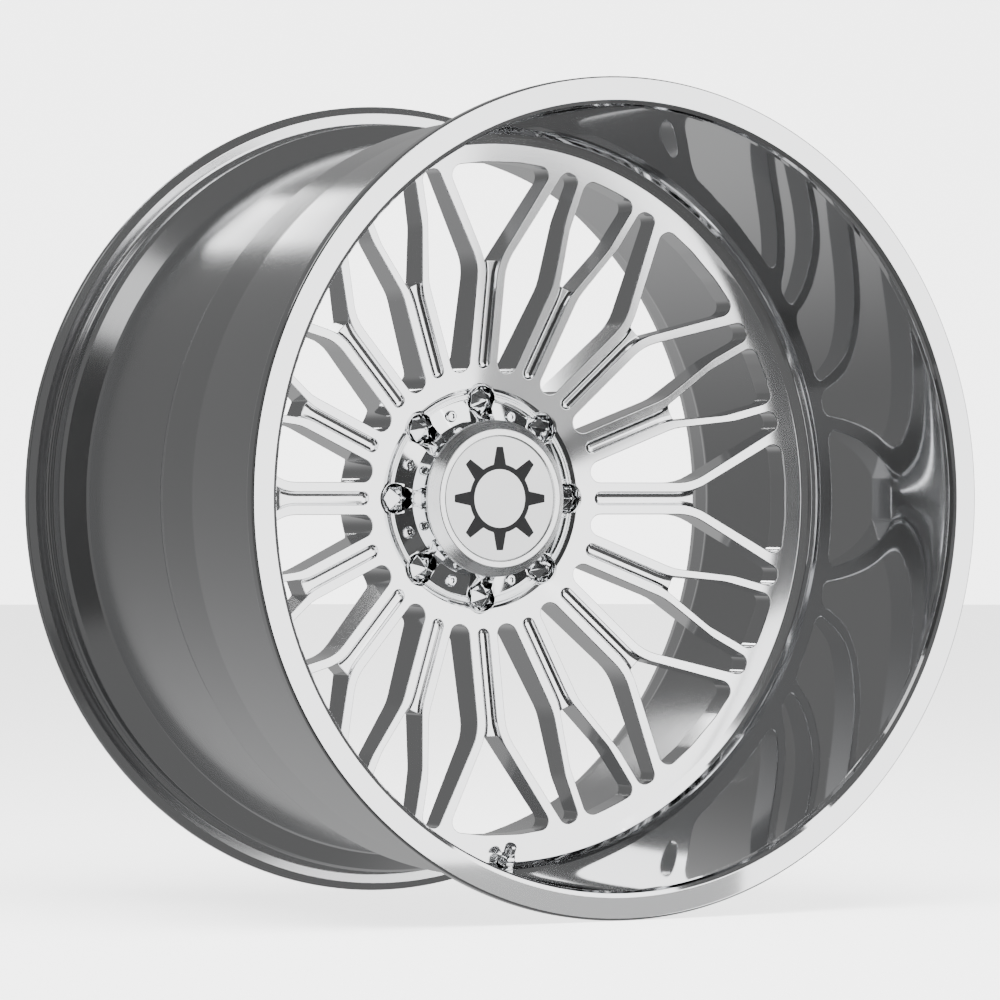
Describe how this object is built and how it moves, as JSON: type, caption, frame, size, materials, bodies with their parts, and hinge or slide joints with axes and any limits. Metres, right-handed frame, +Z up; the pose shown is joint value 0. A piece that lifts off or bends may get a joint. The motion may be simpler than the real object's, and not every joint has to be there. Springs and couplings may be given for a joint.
{
  "type": "forged truck wheel",
  "caption": "Deep-lip forged alloy wheel with Y-shaped spokes, spiked lug nuts, a bolt-on centre cap and a metal clamp-in valve.",
  "frame": {"origin": "on the wheel's axis, in the plane halfway between the two flanges, which is the centre of the bounding box", "axes": "+Y inboard along the wheel's axis (the deep lip faces -Y), +Z up with the valve at the bottom, +X to the right as seen from outboard"},
  "size_m": [0.7002, 0.4284, 0.7002],
  "materials": {
    "polished_aluminium": "mirror polished",
    "brushed_aluminium": "fine circular brushed",
    "chrome": "bright chrome plate",
    "steel": "zinc plated",
    "brass": "turned brass",
    "inlay": "satin dark enamel",
    "rubber": "moulded"
  },
  "bodies": {
    "root": {"wheel_disc": "polished_aluminium", "outer_barrel": "polished_aluminium", "inner_barrel": "polished_aluminium", "cap_base": "chrome", "cap_dome": "brushed_aluminium", "cap_medallion": "brushed_aluminium", "cap_inlay": "inlay", "cap_o_ring": "rubber", "cap_rear_screw_1": "steel", "cap_rear_screw_2": "steel", "cap_rear_screw_3": "steel", "cap_rear_screw_4": "steel", "cap_screw_1": "chrome", "cap_screw_2": "chrome", "cap_screw_3": "chrome", "cap_screw_4": "chrome", "cap_screw_5": "chrome", "cap_screw_6": "chrome", "cap_screw_7": "chrome", "cap_screw_8": "chrome", "valve_stem": "steel", "valve_grommet": "rubber", "valve_washer": "chrome", "valve_nut": "chrome", "valve_core_body": "brass", "valve_core_spring": "steel"},
    "lug_nut_1": {"lug_nut_1": "chrome"},
    "lug_nut_2": {"lug_nut_2": "chrome"},
    "lug_nut_3": {"lug_nut_3": "chrome"},
    "lug_nut_4": {"lug_nut_4": "chrome"},
    "lug_nut_5": {"lug_nut_5": "chrome"},
    "lug_nut_6": {"lug_nut_6": "chrome"},
    "lug_nut_7": {"lug_nut_7": "chrome"},
    "lug_nut_8": {"lug_nut_8": "chrome"},
    "valve_cap": {"valve_cap": "chrome"},
    "valve_cap_seal": {"valve_cap_seal": "rubber"},
    "valve_core_pin": {"valve_core_pin": "brass"}
  },
  "joints": [
    {"name": "lug_nut_1_turn", "type": "hinge", "parent": "root", "child": "lug_nut_1", "pos_m": [0.085, 0.05, 0], "axis": [0, -1, 0], "continuous": true},
    {"name": "lug_nut_2_turn", "type": "hinge", "parent": "root", "child": "lug_nut_2", "pos_m": [0.0601, 0.05, 0.0601], "axis": [0, -1, 0], "continuous": true},
    {"name": "lug_nut_3_turn", "type": "hinge", "parent": "root", "child": "lug_nut_3", "pos_m": [0, 0.05, 0.085], "axis": [0, -1, 0], "continuous": true},
    {"name": "lug_nut_4_turn", "type": "hinge", "parent": "root", "child": "lug_nut_4", "pos_m": [-0.0601, 0.05, 0.0601], "axis": [0, -1, 0], "continuous": true},
    {"name": "lug_nut_5_turn", "type": "hinge", "parent": "root", "child": "lug_nut_5", "pos_m": [-0.085, 0.05, 0], "axis": [0, -1, 0], "continuous": true},
    {"name": "lug_nut_6_turn", "type": "hinge", "parent": "root", "child": "lug_nut_6", "pos_m": [-0.0601, 0.05, -0.0601], "axis": [0, -1, 0], "continuous": true},
    {"name": "lug_nut_7_turn", "type": "hinge", "parent": "root", "child": "lug_nut_7", "pos_m": [0, 0.05, -0.085], "axis": [0, -1, 0], "continuous": true},
    {"name": "lug_nut_8_turn", "type": "hinge", "parent": "root", "child": "lug_nut_8", "pos_m": [0.0601, 0.05, -0.0601], "axis": [0, -1, 0], "continuous": true},
    {"name": "valve_cap_travel", "type": "slide", "parent": "root", "child": "valve_cap_seal", "axis": [0, -0.5, 0.866], "range_m": [0, 0.00634]},
    {"name": "valve_cap_turn", "type": "hinge", "parent": "valve_cap_seal", "child": "valve_cap", "pos_m": [0, -0.013, -0.313], "axis": [0, -0.5, 0.866], "range_deg": [0, 2880]},
    {"name": "valve_core_press", "type": "slide", "parent": "root", "child": "valve_core_pin", "axis": [0, 0.5, -0.866], "range_m": [0, 0.0012], "stiffness_N_per_m": 400, "springref_m": -0.003}
  ],
  "couplings": [
    {"joint": "valve_cap_turn", "follows": "valve_cap_travel", "rad_per_m": 7915.8}
  ]
}
